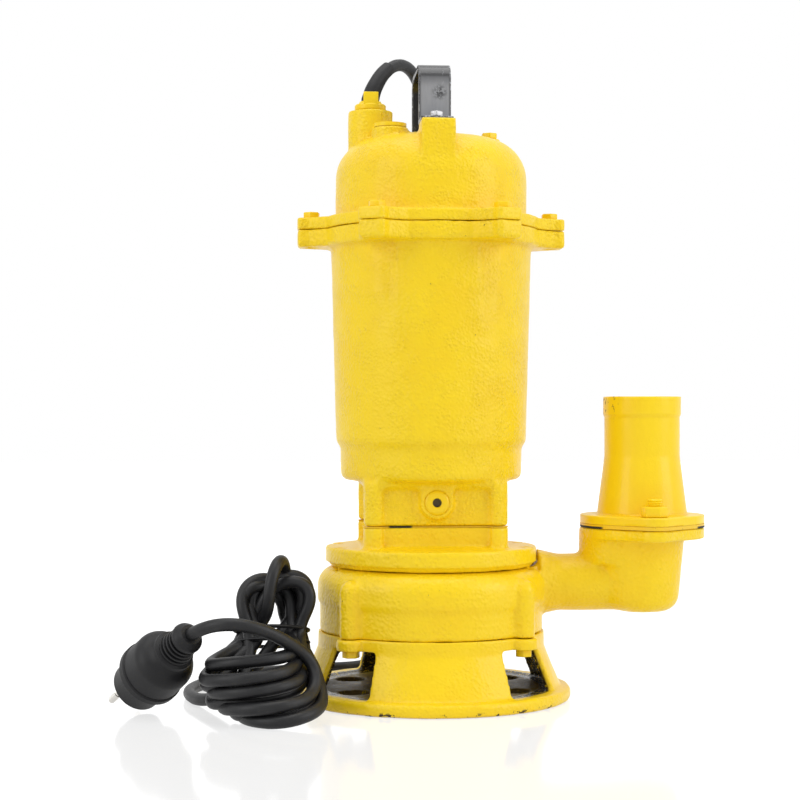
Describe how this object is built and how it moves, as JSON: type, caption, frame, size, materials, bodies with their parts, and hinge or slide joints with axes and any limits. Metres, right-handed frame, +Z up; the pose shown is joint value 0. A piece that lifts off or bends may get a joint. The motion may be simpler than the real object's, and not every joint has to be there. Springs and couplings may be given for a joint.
{
  "type": "submersible sump pump",
  "caption": "Yellow cast-iron submersible sump pump on a strainer foot, with a side elbow and hose tail, a carrying handle and a folded mains lead with its plug.",
  "frame": {"origin": "point on the floor under the pump axis, at the underside of the strainer foot", "axes": "+Z up along the pump axis, +X towards the outlet, -Y towards the oil plug at the front"},
  "size_m": [0.3984, 0.2474, 0.4363],
  "materials": {
    "yellow_paint": "glossy enamel over a cast surface",
    "cast_iron": "rough grey iron",
    "bright_steel": "turned and ground",
    "zinc_steel": "bright zinc plate",
    "lamination_steel": "stacked sheet",
    "aluminium": "cast",
    "winding_copper": "varnished wire",
    "black_paint": "scuffed black enamel",
    "black_rubber": "smooth moulded rubber",
    "seal_rubber": "matt",
    "gasket_sheet": "pressed sheet",
    "ceramic": "polished",
    "carbon": "lapped",
    "fibre": "pressed fibre",
    "white_plastic": "moulded",
    "brass": "plain"
  },
  "bodies": {
    "pump": {"strainer_base": "yellow_paint", "base_bolts": "yellow_paint", "pump_casing": "yellow_paint", "outlet_gasket": "gasket_sheet", "outlet_nozzle": "yellow_paint", "outlet_studs": "yellow_paint", "outlet_nuts": "yellow_paint", "pump_lid": "yellow_paint", "lid_seal_ring": "seal_rubber", "casing_screws": "yellow_paint", "lid_screws": "zinc_steel", "chamber_gasket": "gasket_sheet", "seal_seat": "ceramic", "shaft_lip_seal": "seal_rubber", "oil_plug": "yellow_paint", "oil_plug_washer": "fibre", "motor_housing": "yellow_paint", "stator_core": "lamination_steel", "lower_winding": "winding_copper", "upper_winding": "winding_copper", "lower_bearing_outer": "bright_steel", "upper_bearing_outer": "bright_steel", "bearing_spring_washer": "bright_steel", "bearing_bracket": "cast_iron", "cover_seal_ring": "seal_rubber", "top_cover": "yellow_paint", "cover_bolts": "yellow_paint", "carry_handle": "black_paint", "handle_screws": "zinc_steel", "dome_plug": "yellow_paint", "dome_screw": "yellow_paint", "run_capacitor": "white_plastic", "capacitor_strap": "zinc_steel", "terminal_block": "white_plastic", "cable_bush": "seal_rubber", "cable_gland": "yellow_paint", "strain_relief": "black_rubber", "inner_lead": "black_rubber", "cord_lead": "black_rubber", "cord_hank_floor": "black_rubber", "cord_hank_top": "black_rubber", "cord_ties": "black_rubber", "cord_plug_lead": "black_rubber", "plug_body": "black_rubber", "plug_pins": "zinc_steel", "earth_contacts": "brass"},
    "rotor": {"motor_shaft": "bright_steel", "rotor_core": "lamination_steel", "rotor_end_rings": "aluminium", "lower_bearing_inner": "bright_steel", "upper_bearing_inner": "bright_steel", "impeller": "cast_iron", "impeller_key": "bright_steel", "impeller_nut": "zinc_steel", "seal_head": "carbon", "seal_spring": "bright_steel"},
    "lower_balls": {"lower_bearing_balls": "bright_steel"},
    "upper_balls": {"upper_bearing_balls": "bright_steel"}
  },
  "joints": [
    {"name": "rotor_spin", "type": "hinge", "parent": "pump", "child": "rotor", "pos_m": [0, 0, 0.2], "axis": [0, 0, 1], "continuous": true},
    {"name": "lower_balls_spin", "type": "hinge", "parent": "pump", "child": "lower_balls", "pos_m": [0, 0, 0.157], "axis": [0, 0, 1], "continuous": true},
    {"name": "upper_balls_spin", "type": "hinge", "parent": "pump", "child": "upper_balls", "pos_m": [0, 0, 0.3055], "axis": [0, 0, 1], "continuous": true}
  ],
  "couplings": [
    {"joint": "lower_balls_spin", "follows": "rotor_spin", "ratio": 0.3873},
    {"joint": "upper_balls_spin", "follows": "rotor_spin", "ratio": 0.388}
  ]
}
